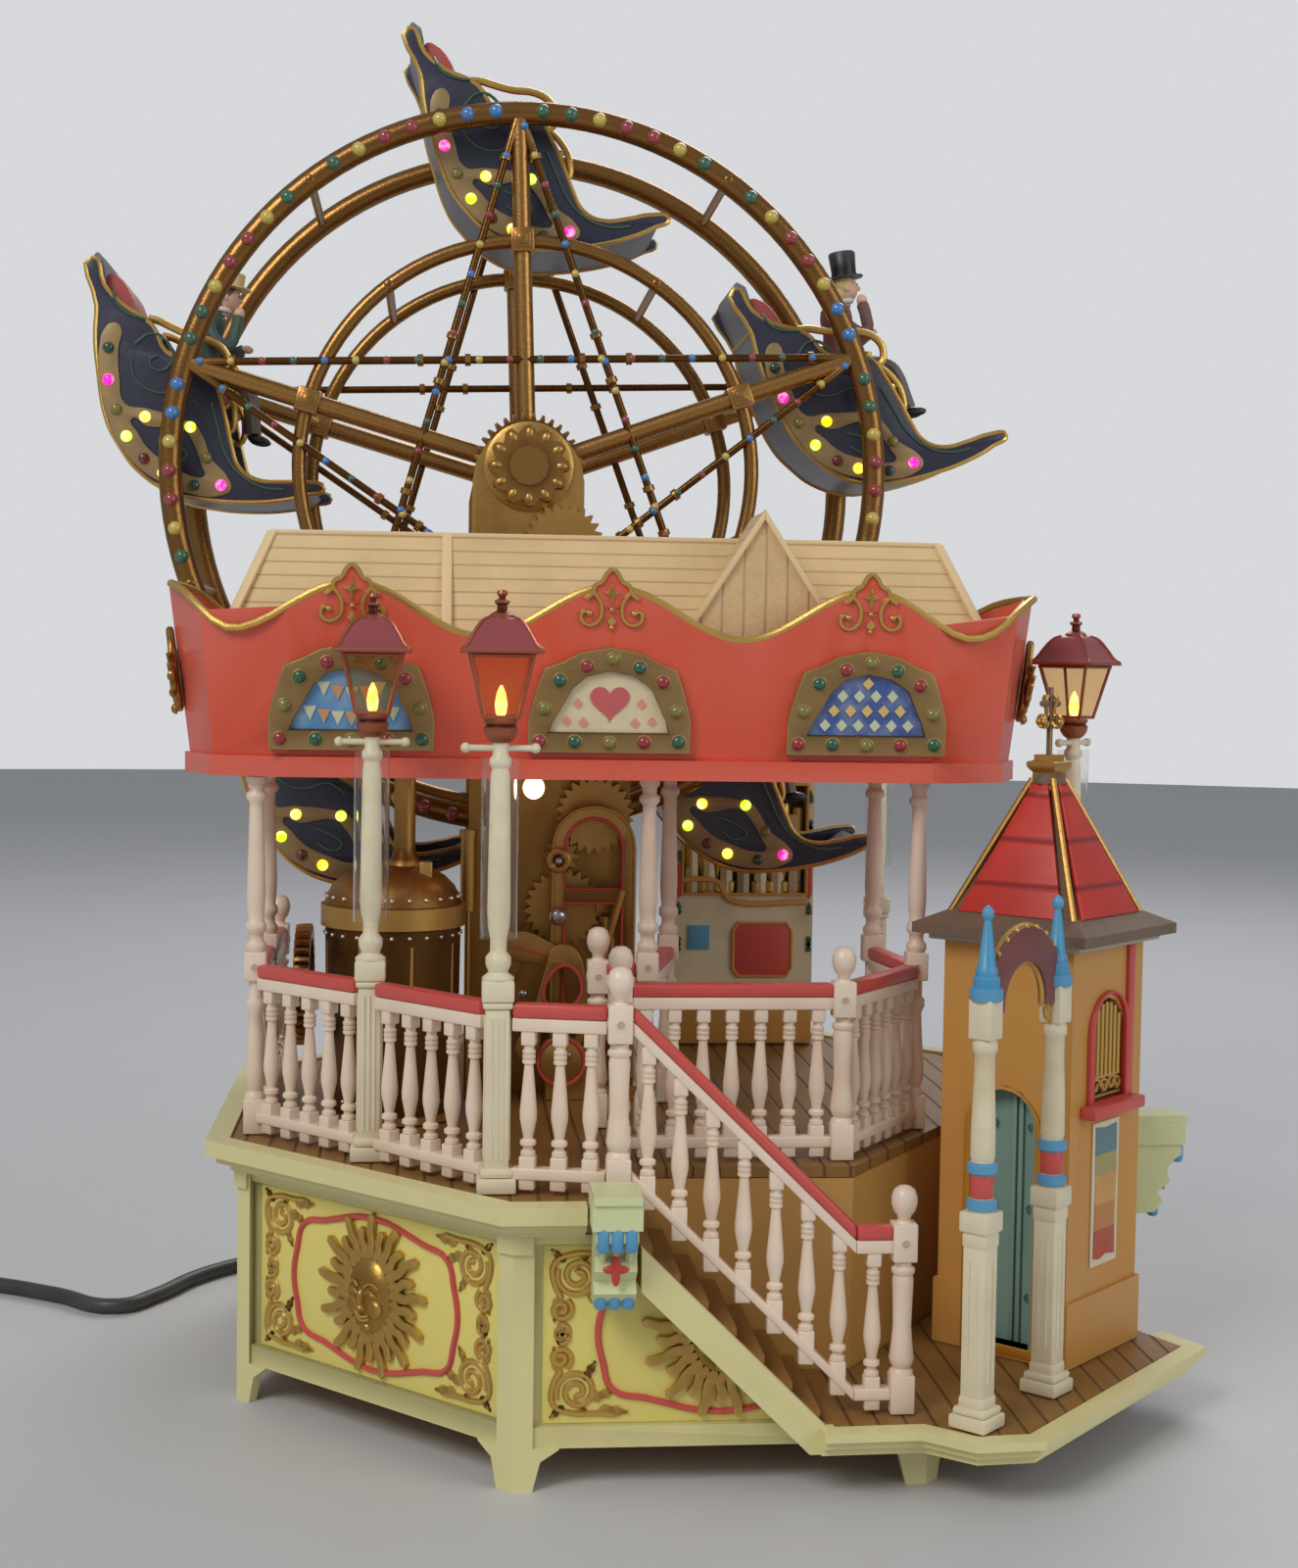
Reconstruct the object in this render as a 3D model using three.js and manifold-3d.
// A musical ferris wheel: an octagonal cabinet with a railed deck, a canopy over a steam engine,
// a landing with stairs and a ticket booth, and a big wheel with five sleigh gondolas driven by gears.
// Millimetres, +X right, +Y back, +Z up. Plan places are shares of the cabinet's half width.
import * as THREE from "three";
import { mergeVertices } from "three/addons/utils/BufferGeometryUtils.js";
import Module from "manifold-3d";

const wasm = await Module();
wasm.setup();

// Shared clearances
const clearance = 0.3;
const overrun = 2;

// Cabinet, deck and cornice
const cabinet_half_width = 143;
const cornice_steps_share = [1, 0.979, 0.951];
const post_face_share = 0.937;
const rail_face_share = 0.93;
const panel_face_share = 0.916;
const wall_thickness = 3;
const post_reach = 5.5;
const foot_height = 11.3;
const foot_bracket_length = 7;
const bottom_rail_height = 5.7;
const top_rail_height = 3;
const cornice_bottom = 68.5;
const cornice_height = 9.5;
const deck_top = 77;
const deck_thickness = 3;
const capital_height = 5;
const capital_projection = 1.2;
const base_plate_thickness = 2.4;

// Landing, stairs and riser wall
const landing_level = 19;
const landing_trim_bottom = 12;
const landing_trim_step = 2;
const riser_thickness = 2.5;
const stair_head_height = 66.8;
const stair_rise = 7.3;
const stair_run = 7.5;
const stair_count = 7;
const nose_height = 2;
const nose_projection = 1;
const stringer_depth = 11.5;
const stringer_thickness = 3;
const stringer_head_height = 67.2;

// Corbels at the two ends of the cornice
const corbel_width = 13;
const corbel_projection = 16;
const corbel_bottom = 52.5;
const corbel_top = 83;
const corbel_cap_height = 2.2;
const corbel_block_height = 9;

// Rails, newels and columns
const handrail_top = 128;
const handrail_height = 4;
const handrail_width = 5.2;
const cream_rail_height = 3.4;
const cream_rail_width = 4.6;
const base_rail_bottom = 81;
const base_rail_height = 3;
const base_rail_width = 5;
const baluster_radius = 2.2;
const newel_height = 61.5;
const newel_width = 6.5;
const newel_ball_radius = 3.6;
const newel_foot_height = 10;
const newel_cap_height = 4;
const column_block_width = 6.4;
const column_block_bottom = 123;
const column_block_height = 8.5;
const column_radius = 3.2;

// Street lamps
const lamp_foot_width = 10.5;
const lamp_foot_height = 7;
const lamp_shaft_width = 7;
const lamp_block_bottom = 128;
const lamp_block_height = 6;
const lamp_block_width = 8.6;
const sleeve_radius = 5;
const lamp_neck_top = 203;
const lamp_crossbar_height = 195.4;
const lamp_crossbar_length = 20;
const lamp_crossbar_radius = 1;
const lantern_base_width = 9;
const lantern_glass_width = 17;
const lantern_eaves_width = 21.7;
const lantern_glass_height = 17.4;
const lantern_roof_height = 9;
const lantern_finial_height = 6.5;

// Canopy
const canopy_length = 254.8;
const canopy_depth = 64;
const canopy_bottom = 184;
const canopy_band_height = 6;
const canopy_flare = 6.5;
const canopy_back_flare = 3;
const canopy_crest_height = 56.5;
const canopy_valley_height = 41.5;
const canopy_wall = 3;
const canopy_ridge_height = 257;
const canopy_ridge_length = 206;
const canopy_eaves_height = 36;
const picture_width = 48;
const picture_height = 31;
const picture_bottom = 192.2;
const picture_border = 4;
const picture_relief = 1.6;
const dormer_width = 47;
const dormer_base_height = 228;
const dormer_apex_height = 264.6;
const dormer_reach = 26;

// Wheel
const wheel_radius = 116.6;
const wheel_axis_height = 282.5;
const wheel_front = 29;
const wheel_back = 99;
const rim_tube_radius = 3.8;
const inner_ring_radius = 75;
const inner_ring_tube_radius = 2.4;
const spoke_width = 6.5;
const spoke_thickness = 3.4;
const boss_width = 8;
const star_bar_radius = 1.3;
const tie_rod_radius = 1.5;
const hub_radius = 12;
const hub_thickness = 6;
const axle_radius = 4;
const rosette_radius = 13;
const rosette_thickness = 3;
const star_first_angle_deg = 92;
const star_count = 5;

// Gondolas
const gondola_length = 87.7;
const gondola_width = 45;
const gondola_setback = 3.5;
const gondola_side_thickness = 2.4;
const gondola_floor_thickness = 2.4;
const gondola_pin_radius = 2;
const gondola_tilts_deg = [0, -10, 0, 0, 8];
const seat_width = 38;
const rider_height = 27;

// Towers and gears
const tower_width = 36.5;
const tower_plate_front = 17;
const tower_plate_thickness = 3;
const tower_top = 296;
const rear_tower_front = 106;
const rear_tower_thickness = 6;
const gear_module = 1;
const gear_thickness = 3;
const gear_front = 12.8;
const gear_backlash = 0.2;
const ring_gear_front = 21.5;
const gear_pin_radius = 1.6;
const ring_gear_teeth = 34;
const idler_teeth = 24;
const idler_pinion_teeth = 20;
const intermediate_teeth = 65;
const big_teeth = 24;
const pinion_teeth = 10;
const crank_teeth = 24;

// Steam engine, organ and booth
const engine_frame_width = 27.6;
const engine_frame_top = 173;
const engine_frame_front = 3.6;
const engine_frame_thickness = 5;
const engine_frame_border = 4.4;
const boiler_radius = 22.3;
const boiler_shoulder_height = 137;
const boiler_top = 155;
const chimney_radius = 3.3;
const flywheel_radius = 19;
const flywheel_thickness = 5;
const flywheel_height = 118;
const flywheel_rim = 3.4;
const organ_width = 52;
const organ_depth = 20;
const organ_height = 113;
const booth_side = 42.4;
const booth_eaves_height = 141;
const booth_wall = 3;
const booth_eaves_side = 56.6;
const booth_eaves_thickness = 3;
const booth_roof_height = 42.4;
const booth_cap_height = 10.6;
const booth_finial_height = 19.4;
const booth_door_width = 22;
const booth_door_height = 76;
const booth_window_width = 20;
const booth_window_height = 30;
const booth_sill_height = 91;
const arch_post_width = 8;
const arch_post_height = 57;
const arch_sign_bottom = 118;
const arch_sign_top = 150;
const arch_spire_top = 157;

// Drive, switch and cord
const motor_radius = 17;
const motor_length = 46;
const switch_width = 10;
const switch_travel = 4;
const cord_width = 5;
const coil_radius = 38;
const coil_turns = 7;
const coil_pitch = 5.6;
const coil_exit = 36;
const adapter_length = 46;
const adapter_width = 30;
const adapter_height = 36;

// Materials
const finishes = {
  cream: { color: 0xe8e2b6, roughness: 0.5, metalness: 0 },
  deck: { color: 0x826232, roughness: 0.6, metalness: 0 },
  corbel: { color: 0xdce0a0, roughness: 0.5, metalness: 0 },
  tan: { color: 0xb99a62, roughness: 0.6, metalness: 0 },
  rail: { color: 0xdc5a55, roughness: 0.5, metalness: 0 },
  lamp: { color: 0xece6cd, roughness: 0.5, metalness: 0 },
  glass: { color: 0xf4f0dc, roughness: 0.2, metalness: 0 },
  coral: { color: 0xe9624d, roughness: 0.45, metalness: 0 },
  roof: { color: 0xf0d7af, roughness: 0.5, metalness: 0 },
  bronze: { color: 0x735030, roughness: 0.4, metalness: 0.7 },
  brass: { color: 0x967341, roughness: 0.35, metalness: 0.8 },
  navy: { color: 0x3c415f, roughness: 0.35, metalness: 0 },
  seat: { color: 0x8a2626, roughness: 0.6, metalness: 0 },
  booth: { color: 0xdea55a, roughness: 0.5, metalness: 0 },
  black: { color: 0x1a1a1a, roughness: 0.6, metalness: 0 },
};

// Geometry helpers: pieces are closed BufferGeometries, joined and cut as solids
const merge_tolerance = 0.001;

function solidOf(piece) {
  const bare = new THREE.BufferGeometry().setAttribute("position", piece.getAttribute("position"));
  bare.setIndex(piece.index);
  const merged = mergeVertices(bare, merge_tolerance);
  const place = merged.getAttribute("position");
  const kept = [];
  let volume = 0;
  const [a, b, c] = [new THREE.Vector3(), new THREE.Vector3(), new THREE.Vector3()];
  for (let i = 0; i < merged.index.count; i += 3) {
    const corners = [merged.index.getX(i), merged.index.getX(i + 1), merged.index.getX(i + 2)];
    if (new Set(corners).size < corners.length) continue;
    kept.push(...corners);
    a.fromBufferAttribute(place, corners[0]);
    b.fromBufferAttribute(place, corners[1]);
    c.fromBufferAttribute(place, corners[2]);
    volume += a.dot(b.cross(c));
  }
  // A profile may be drawn either way round: its faces are turned to point out
  const triVerts = new Uint32Array(volume < 0 ? kept.reverse() : kept);
  return new wasm.Manifold(new wasm.Mesh({ numProp: 3, vertProperties: place.array, triVerts }));
}

function pieceOf(solid) {
  const mesh = solid.getMesh();
  const piece = new THREE.BufferGeometry();
  piece.setAttribute("position", new THREE.BufferAttribute(new Float32Array(mesh.vertProperties), 3));
  return piece.setIndex(new THREE.BufferAttribute(new Uint32Array(mesh.triVerts), 1));
}

const join = (...pieces) => pieceOf(wasm.Manifold.union(pieces.flat(Infinity).map(solidOf)));

function cut(piece, ...tools) {
  const tool = wasm.Manifold.union(tools.flat(Infinity).map(solidOf));
  return pieceOf(solidOf(piece).subtract(tool));
}

const keep = (piece, tool) => pieceOf(solidOf(piece).intersect(solidOf(tool)));

// A box given by its lower and upper corner
function block(low, high) {
  const size = high.map((value, axis) => value - low[axis]);
  const middle = high.map((value, axis) => (value + low[axis]) / 2);
  return new THREE.BoxGeometry(...size).translate(...middle);
}

// An upright box centred on a plan point, turned about its own axis
function post([x, y], bottom, top, width, depth = width, turn = 0) {
  return new THREE.BoxGeometry(width, depth, top - bottom)
    .rotateZ(turn)
    .translate(x, y, (bottom + top) / 2);
}

const outlineOf = (points) => new THREE.Shape(points.map(([u, v]) => new THREE.Vector2(u, v)));

function shapeOf(points, holes = []) {
  const shape = outlineOf(points);
  shape.holes = holes.map(outlineOf);
  return shape;
}

// A plan outline raised from bottom to top
function prism(points, bottom, top, holes = []) {
  const depth = top - bottom;
  return new THREE.ExtrudeGeometry(shapeOf(points, holes), { depth, bevelEnabled: false })
    .translate(0, 0, bottom);
}

// An outline seen from the front, with x and z, from the front plane to the back plane
function plate(points, front, back, holes = []) {
  const depth = back - front;
  return new THREE.ExtrudeGeometry(shapeOf(points, holes), { depth, bevelEnabled: false })
    .rotateX(Math.PI / 2)
    .translate(0, back, 0);
}

// A profile of radius and height, turned round the upright axis
function turned(profile, sides, [x, y] = [0, 0], bottom = 0) {
  const ends = [[0, profile[0][1]], ...profile, [0, profile.at(-1)[1]]];
  const points = ends.map(([radius, height]) => new THREE.Vector2(radius, height));
  return new THREE.LatheGeometry(points, sides).rotateX(Math.PI / 2).translate(x, y, bottom);
}

// A turned profile whose sides face square to the frame
const squareTurned = (profile, place, bottom) =>
  turned(profile.map(([half, height]) => [half * Math.SQRT2, height]), 4)
    .rotateZ(Math.PI / 4)
    .translate(place[0], place[1], bottom);

// Profile shares scaled to a radius and a height
const scaled = (shares, radius, height) => shares.map(([r, h]) => [r * radius, h * height]);

// A round bar from one point to another
function rod(from, to, radius, sides = 8) {
  const start = new THREE.Vector3(...from);
  const along = new THREE.Vector3(...to).sub(start);
  const turn = new THREE.Quaternion().setFromUnitVectors(
    new THREE.Vector3(0, 1, 0),
    along.clone().normalize(),
  );
  const middle = start.addScaledVector(along, 1 / 2);
  return new THREE.CylinderGeometry(radius, radius, along.length(), sides)
    .applyQuaternion(turn)
    .translate(middle.x, middle.y, middle.z);
}

// A flat-sided bar between two plan points, whose bottom runs from one height to another
function bar(from, to, width, bottoms, height) {
  const length = Math.hypot(to[0] - from[0], to[1] - from[1]);
  const turn = Math.atan2(to[1] - from[1], to[0] - from[0]);
  const side = [
    [0, bottoms[0]],
    [length, bottoms[1]],
    [length, bottoms[1] + height],
    [0, bottoms[0] + height],
  ];
  return plate(side, -width / 2, width / 2).rotateZ(turn).translate(from[0], from[1], 0);
}

// A solid skin through rings of the same number of points, with flat ends
function loft(rings) {
  const count = rings[0].length;
  const places = rings.flat(2);
  const faces = [];
  for (let r = 0; r + 1 < rings.length; r++)
    for (let i = 0; i < count; i++) {
      const [a, b] = [r * count + i, r * count + ((i + 1) % count)];
      faces.push(a, b, b + count, a, b + count, a + count);
    }
  const capEnd = (first, forward) => {
    const middle = rings[forward ? rings.length - 1 : 0]
      .reduce((sum, point) => sum.map((value, axis) => value + point[axis] / count), [0, 0, 0]);
    const centre = places.length / 3;
    places.push(...middle);
    for (let i = 0; i < count; i++) {
      const [a, b] = [first + i, first + ((i + 1) % count)];
      faces.push(...(forward ? [a, b, centre] : [b, a, centre]));
    }
  };
  capEnd(0, false);
  capEnd((rings.length - 1) * count, true);
  const piece = new THREE.BufferGeometry();
  piece.setAttribute("position", new THREE.Float32BufferAttribute(places, 3));
  return piece.setIndex(faces);
}

// A closed band through sections set round a loop, each with the same number of points
function band(sections) {
  const size = sections[0].length;
  const faces = [];
  sections.forEach((section, i) => {
    const next = (i + 1) % sections.length;
    for (let j = 0; j < size; j++) {
      const [a, b] = [i * size + j, i * size + ((j + 1) % size)];
      const [c, d] = [next * size + j, next * size + ((j + 1) % size)];
      faces.push(a, c, d, a, d, b);
    }
  });
  const piece = new THREE.BufferGeometry();
  piece.setAttribute("position", new THREE.Float32BufferAttribute(sections.flat(2), 3));
  return piece.setIndex(faces);
}

const planPoint = ([x, y]) => [x * cabinet_half_width, y * cabinet_half_width];
const between = (p, q, share) => p.map((value, axis) => value + (q[axis] - value) * share);

// A regular octagon with flats to the front, back and sides, from its half width
function octagon(half_width) {
  const corner = half_width * Math.tan(Math.PI / 8);
  const quarter = [[half_width, -corner], [half_width, corner]];
  return [0, 1, 2, 3].flatMap((turns) =>
    quarter.map(([x, y]) => {
      const angle = (turns * Math.PI) / 2;
      return [x * Math.cos(angle) - y * Math.sin(angle), x * Math.sin(angle) + y * Math.cos(angle)];
    }),
  );
}

const root = new THREE.Group();

// Names a piece and puts it in the model, or in a group that is already placed there
function addPart(name, piece, finish, holder = root) {
  const mesh = new THREE.Mesh(piece, new THREE.MeshStandardMaterial(finishes[finish]));
  mesh.name = name;
  holder.add(mesh);
  return mesh;
}

function placedGroup(x, y, z, holder = root) {
  const group = new THREE.Group();
  group.position.set(x, y, z);
  holder.add(group);
  return group;
}

// Moves a plan route sideways, to its left for a positive distance, keeping its corners sharp
function offsetRoute(points, distance) {
  const normals = points.slice(1).map(([x, y], i) => {
    const [dx, dy] = [x - points[i][0], y - points[i][1]];
    const length = Math.hypot(dx, dy);
    return [-dy / length, dx / length];
  });
  return points.map(([x, y], i) => {
    const before = normals[Math.max(i - 1, 0)];
    const after = normals[Math.min(i, normals.length - 1)];
    const meet = 1 + before[0] * after[0] + before[1] * after[1];
    return [
      x + (distance * (before[0] + after[0])) / meet,
      y + (distance * (before[1] + after[1])) / meet,
    ];
  });
}

// Where the deck is cut away for the stairs and the landing, from the stairs' head to the right face
const riser_route_shares = [
  [-0.161, -1.2],
  [-0.161, -0.655],
  [0.294, -0.664],
  [0.559, -0.28],
  [0.671, -0.245],
  [0.762, -0.245],
  [0.93, -0.365],
  [1.2, -0.365],
];
const landing_edge_shares = [
  [0.175, -0.993],
  [0.371, -0.986],
  [0.455, -1.056],
  [0.552, -1.049],
  [1.007, -0.559],
  [0.965, -0.476],
];
const front_corner_share = [1.2, -1.2];
const riser_route = riser_route_shares.map(planPoint);
const landing_edge = landing_edge_shares.map(planPoint);
const post_face = cabinet_half_width * post_face_share;
const rail_face = cabinet_half_width * rail_face_share;
const panel_face = cabinet_half_width * panel_face_share;
const wall_inside = panel_face - wall_thickness;
const [cornice_edge, cornice_waist, deck_edge] =
  cornice_steps_share.map((share) => share * cabinet_half_width);
const deck_bottom = deck_top - deck_thickness;
const wall_top = deck_bottom - clearance;
const base_plate_top = foot_height + base_plate_thickness;
const landing_bottom = base_plate_top + clearance;
const stair_head_x = riser_route[0][0] + clearance;
const first_nose_x = stair_head_x + 3 * nose_projection;
const stair_slope = stair_rise / stair_run;
const stringerTop = (x) => stringer_head_height - (x - stair_head_x) * stair_slope;
const stringerBottom = (x) => stringerTop(x) - stringer_depth;
const xWhereBottomIs = (z) => stair_head_x + (stringer_head_height - stringer_depth - z) / stair_slope;
const stair_front = planPoint([0, landing_edge_shares[0][1]])[1] + overrun;
const stair_back = riser_route[1][1];

// The space over the landing, from a height upward, with its edge moved out by a margin
function landingSpace(bottom, top, margin = 0) {
  const route = offsetRoute(riser_route, margin);
  return prism([...route, planPoint(front_corner_share)], bottom, top);
}

// The space over the slope of the stairs, in front of the riser wall
function stairSpace(margin) {
  const foot = xWhereBottomIs(base_plate_top);
  const outline = [
    [stair_head_x - margin, stringerBottom(stair_head_x) - margin],
    [foot, stringerBottom(foot) - margin],
    [cornice_edge, base_plate_top],
    [cornice_edge, deck_top + overrun],
    [stair_head_x - margin, deck_top + overrun],
  ];
  return plate(outline, -cornice_edge - overrun, riser_route[1][1]);
}

const octagonRing = (outside, inside, bottom, top) =>
  prism(octagon(outside), bottom, top, [octagon(inside).reverse()]);

// One corner post with its foot, capital and the curved brackets beside the foot
function cornerPost(index) {
  const outer = octagon(post_face);
  const inner = octagon(wall_inside);
  const [before, corner, after] = [outer.at(index - 1), outer[index], outer[(index + 1) % outer.length]];
  const side = Math.hypot(corner[0] - before[0], corner[1] - before[1]);
  const angleOut = Math.atan2(corner[1], corner[0]);
  const near = (reach) => [between(corner, before, reach / side), between(corner, after, reach / side)];
  const wedge = (reach, bottom, top, project) => {
    const [a, b] = near(reach);
    const out = [Math.cos(angleOut) * project, Math.sin(angleOut) * project];
    const moved = [a, corner, b].map(([x, y]) => [x + out[0], y + out[1]]);
    return prism([...moved, inner[index]], bottom, top);
  };
  const brackets = [before, after].map((end) => {
    const turn = Math.atan2(end[1] - corner[1], end[0] - corner[0]);
    const reach = post_reach + foot_bracket_length;
    const arc = [0, 1, 2].map((step) => {
      const angle = (step * Math.PI) / 4;
      return [reach - foot_bracket_length * Math.cos(angle), foot_height * Math.sin(angle)];
    });
    const outline = [[0, 0], ...arc, [reach, foot_height + clearance], [0, foot_height + clearance]];
    const inward = end === before ? 1 : -1;
    return plate(outline, inward > 0 ? -wall_thickness : 0, inward > 0 ? 0 : wall_thickness)
      .rotateZ(turn)
      .translate(corner[0], corner[1], 0);
  });
  return [
    wedge(post_reach, 0, cornice_bottom - clearance, 0),
    wedge(post_reach, cornice_bottom - capital_height, cornice_bottom - clearance, capital_projection),
    brackets,
  ];
}

function cabinetWalls() {
  const bottom_rail_top = foot_height + bottom_rail_height;
  const top_rail_bottom = wall_top - top_rail_height - capital_height;
  const whole = join(
    octagonRing(panel_face, wall_inside, foot_height, wall_top),
    octagonRing(rail_face, wall_inside, foot_height, bottom_rail_top),
    octagonRing(rail_face, wall_inside, top_rail_bottom, cornice_bottom - clearance),
    octagon(post_face).map((_, index) => cornerPost(index)),
  );
  const landing_start = xWhereBottomIs(base_plate_top);
  const beyond_stairs = keep(
    landingSpace(base_plate_top, deck_top + overrun, riser_thickness + clearance),
    block([landing_start, -2 * cornice_edge, 0], [2 * cornice_edge, 2 * cornice_edge, 2 * deck_top]),
  );
  return cut(join(cut(whole, beyond_stairs, stairSpace(clearance)), gland()), switchSlot());
}

function basePlate() {
  return prism(octagon(wall_inside - clearance), foot_height, base_plate_top);
}

function deckFloor() {
  return cut(prism(octagon(deck_edge), deck_bottom, deck_top), landingSpace(0, 2 * deck_top));
}

// The corbels stand where the cornice stops
const left_corbel_place = [
  riser_route[0][0] - corbel_width / 2 - clearance,
  -deck_edge - clearance,
];
const right_corbel_place = [deck_edge + clearance, cabinet_half_width * -0.35];

function cornice() {
  const rim_top = cornice_bottom + cornice_height;
  const step = cornice_height / 4;
  const corner = 1 / Math.cos(Math.PI / 8);
  const inner = panel_face + clearance;
  const section = [
    [inner, cornice_bottom],
    [deck_edge, cornice_bottom],
    [deck_edge, cornice_bottom + step],
    [cornice_waist, cornice_bottom + step],
    [cornice_waist, cornice_bottom + 2 * step],
    [cornice_edge, cornice_bottom + 2 * step],
    [cornice_edge, rim_top],
    [deck_edge + clearance, rim_top],
    [deck_edge + clearance, wall_top],
    [inner, wall_top],
  ];
  const corners = octagon(1).map(([x, y]) => Math.atan2(y, x));
  const sections = corners.map((angle) =>
    section.map(([reach, height]) => [
      reach * corner * Math.cos(angle),
      reach * corner * Math.sin(angle),
      height,
    ]),
  );
  const half = corbel_width / 2 + 2 * clearance;
  const left_stop = left_corbel_place[0] - half;
  const right_stop = right_corbel_place[1] + half;
  return cut(
    band(sections),
    landingSpace(0, 2 * deck_top, riser_thickness + clearance),
    block([left_stop, -2 * cornice_edge, 0], [2 * cornice_edge, -inner + wall_thickness, 2 * deck_top]),
    block([0, -2 * cornice_edge, 0], [2 * cornice_edge, right_stop, 2 * deck_top]),
  );
}

function riserWall() {
  const route = offsetRoute(riser_route, clearance);
  const ribbon = [...route, ...offsetRoute(riser_route, riser_thickness).reverse()];
  const inside = prism(octagon(wall_inside - clearance), 0, deck_top);
  return keep(prism(ribbon, landing_bottom, wall_top), inside);
}

function stairProfile() {
  const foot_x = first_nose_x + (stair_count - 1) * stair_run;
  const steps = [];
  for (let step = stair_count - 1; step >= 0; step--) {
    const nose = first_nose_x + step * stair_run;
    const level = stair_head_height - step * stair_rise;
    steps.push([nose - nose_projection, step === stair_count - 1 ? landing_bottom : steps.at(-1)[1]]);
    steps.push([nose - nose_projection, level - nose_height], [nose, level - nose_height], [nose, level]);
  }
  const low_x = xWhereBottomIs(landing_bottom);
  return [
    [stair_head_x, stringerBottom(stair_head_x)],
    [low_x, landing_bottom],
    [Math.max(foot_x, low_x) - nose_projection, landing_bottom],
    ...steps.slice(1),
    [stair_head_x, stair_head_height],
  ];
}

function stringerBody(margin = 0) {
  const head = stair_head_x - margin;
  const foot_top = stair_head_x + (stringer_head_height - landing_level) / stair_slope + margin;
  const outline = [
    [head, stringerBottom(head) - margin],
    [xWhereBottomIs(landing_trim_bottom) - margin, landing_trim_bottom - margin],
    [foot_top + landing_trim_step, landing_trim_bottom - margin],
    [foot_top + landing_trim_step, landing_level + margin],
    [foot_top, landing_level + margin],
    [head, stringerTop(head) + margin],
  ];
  return plate(outline, stair_front - clearance - stringer_thickness - margin, stair_front - clearance + margin);
}

function landingAndStairs() {
  const inner_route = offsetRoute(riser_route, -clearance);
  const start = [xWhereBottomIs(landing_bottom), stair_front];
  const right_end = [rail_face, inner_route.at(-2)[1] - riser_thickness];
  const outline = [start, ...landing_edge, right_end, planPoint([0.7, -0.1]), [start[0], 0]];
  const floor = prism(outline, landing_bottom, landing_level);
  const steps = plate(stairProfile(), stair_front, stair_back);
  return cut(keep(join(floor, steps), landingSpace(0, deck_top, -clearance)), stringerBody(clearance));
}

function landingTrim() {
  const inner = offsetRoute(landing_edge, -clearance);
  const widths = [1, 2, 3].map((count) => count * landing_trim_step);
  const height = (landing_level - landing_trim_bottom) / widths.length;
  const steps = widths.map((width, index) => {
    const outer = offsetRoute(landing_edge, -width - clearance);
    const bottom = landing_trim_bottom + index * height;
    return prism([...inner, ...outer.reverse()], bottom, bottom + height);
  });
  return cut(join(steps, stringerBody()), cabinetShell);
}

const corbel_profile_shares = [
  [0, 0],
  [0.45, 0.02],
  [0.62, 0.12],
  [0.5, 0.22],
  [0.75, 0.33],
  [0.66, 0.45],
  [0.82, 0.55],
  [0.95, 0.6],
  [0.95, 0.9],
  [0, 0.9],
];

// A scrolled bracket that comes out along X, with its cap slab and a raised diamond
function corbel() {
  const height = corbel_top - corbel_bottom;
  const side = scaled(corbel_profile_shares, corbel_projection, height)
    .map(([out, up]) => [out, corbel_bottom + up]);
  const half = corbel_width / 2;
  const cap_half = half - clearance;
  const flutes = [-1, 0, 1].map((place) =>
    rod(
      [corbel_projection * 0.6, (place * half) / 2, corbel_bottom + height * 0.35],
      [corbel_projection * 0.8, (place * half) / 2, corbel_bottom + height * 0.6],
      half / 6,
      6,
    ),
  );
  return join(
    plate(side, -half + nose_projection, half - nose_projection),
    block([0, -cap_half, corbel_top - corbel_cap_height], [corbel_projection * 1.05, cap_half, corbel_top]),
    block([0, -half, corbel_top - corbel_block_height], [corbel_projection, half, corbel_top - corbel_cap_height]),
    flutes,
  );
}

// Turned profiles, as shares of their radius and height
const baluster_shares = [
  [1, 0],
  [0.55, 0.18],
  [1, 0.36],
  [0.55, 0.8],
  [1, 1],
];
const column_shares = [
  [1, 0],
  [1, 0.14],
  [0.64, 0.22],
  [0.92, 0.5],
  [0.64, 0.86],
  [1, 1],
];
const newel_shares = [
  [0.9, 0],
  [0.55, 0.1],
  [0.9, 0.35],
  [0.6, 1],
];
const ball_shares = [
  [0.5, 0],
  [0.3, 0.2],
  [0.95, 0.45],
  [0.85, 0.8],
  [0.25, 1],
];
const socket_shares = [
  [0.5, 0],
  [0.3, 0.25],
  [1, 0.55],
  [0.9, 1],
];
const sleeve_shares = [
  [0.64, 0],
  [0.5, 0.08],
  [1, 0.18],
  [1, 0.84],
  [0.5, 0.86],
  [0.36, 1],
];
const baluster_sides = 4;
const turned_sides = 6;

// A square newel with a turned waist and a ball on top
function newel(place, foot = deck_top) {
  const top = foot + newel_height;
  const block_top = foot + handrail_top - deck_top + clearance;
  const block_bottom = block_top - newel_foot_height;
  const waist_bottom = foot + newel_foot_height;
  return [
    post(place, foot + clearance, waist_bottom, newel_width),
    turned(scaled(newel_shares, newel_width / 2, block_bottom - waist_bottom), turned_sides, place, waist_bottom),
    post(place, block_bottom, block_top, newel_width),
    turned(scaled(ball_shares, newel_ball_radius, top - block_top), turned_sides, place, block_top),
  ];
}

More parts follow.
